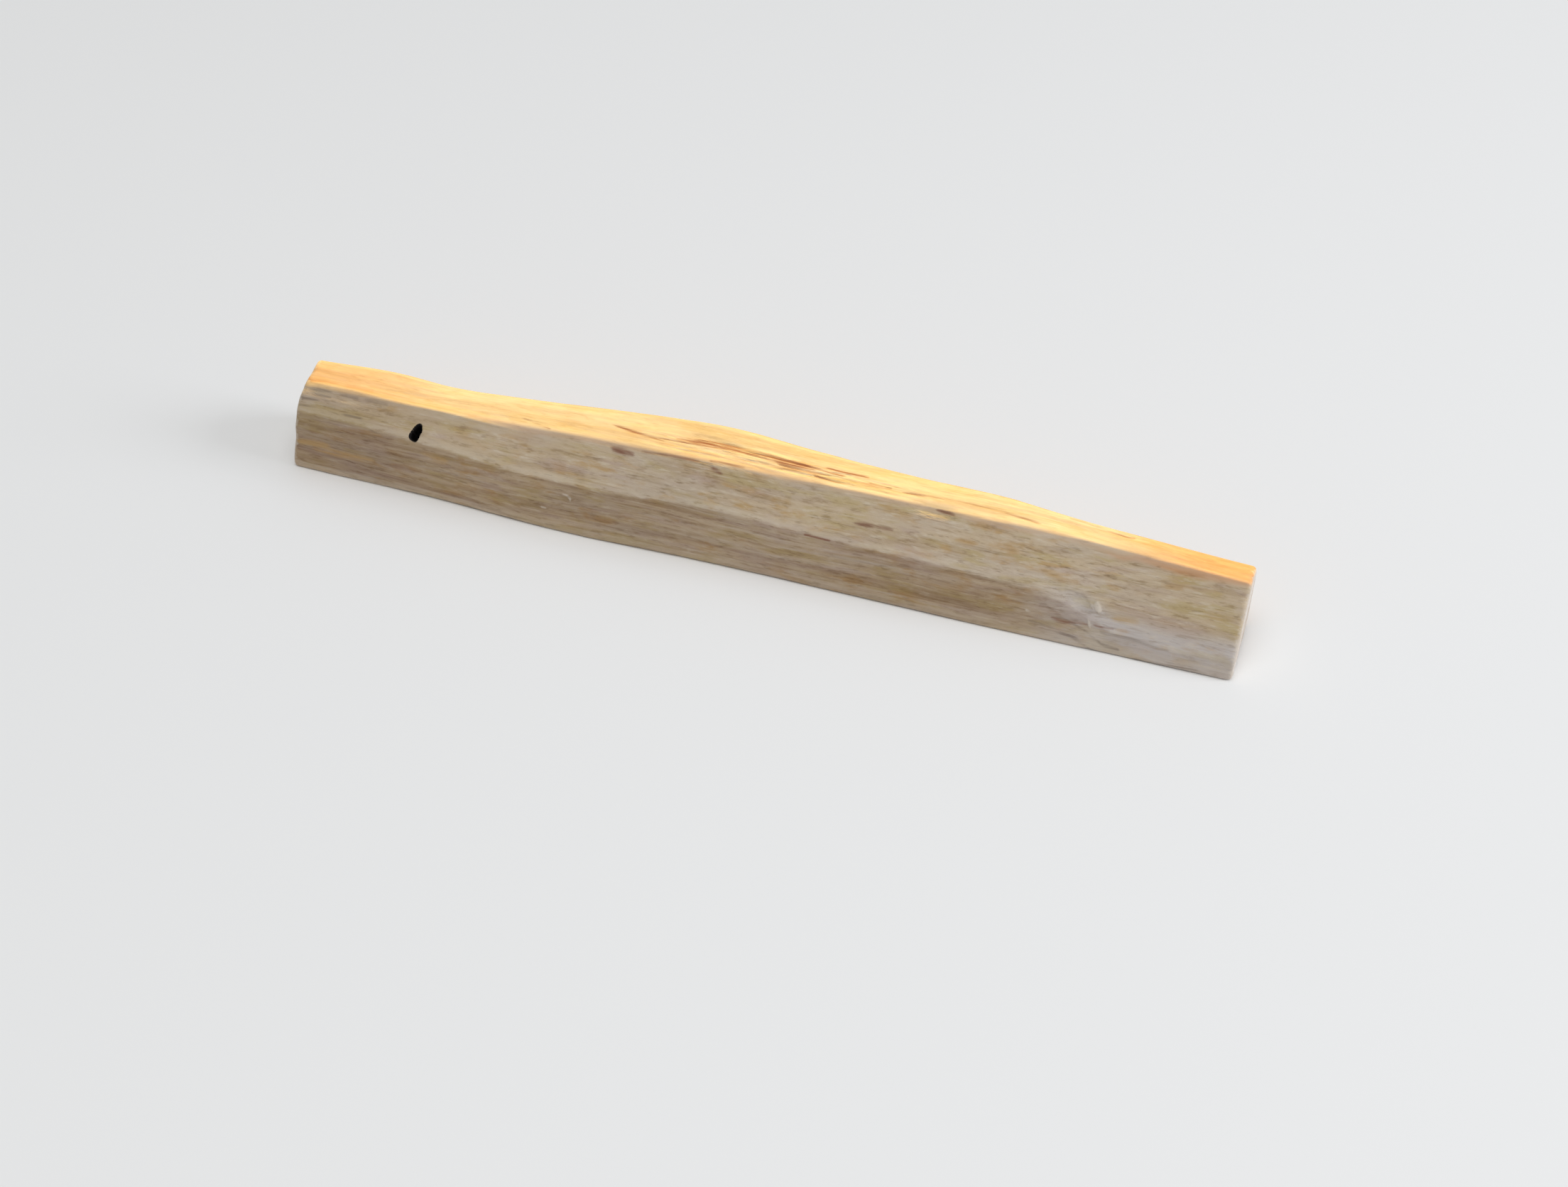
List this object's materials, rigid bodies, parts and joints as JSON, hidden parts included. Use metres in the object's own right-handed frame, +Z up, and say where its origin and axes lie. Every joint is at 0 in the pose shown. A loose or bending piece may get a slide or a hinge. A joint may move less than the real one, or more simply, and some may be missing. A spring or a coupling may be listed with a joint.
{
  "type": "palo santo stick",
  "caption": "Short straight stick of pale aromatic wood, split and hewn to an uneven many-sided section, with plain sawn ends.",
  "frame": {"origin": "middle of the footprint, on the surface that the stick lies on", "axes": "+X along the grain towards the end with the plain front, +Y away from the wide hewn front, +Z up from the flat underside"},
  "size_m": [0.1016, 0.0126, 0.0095],
  "materials": {
    "palo_santo_wood": "dry, unpolished, hewn along the grain"
  },
  "bodies": {
    "root": {"palo_santo_stick": "palo_santo_wood"}
  },
  "joints": []
}
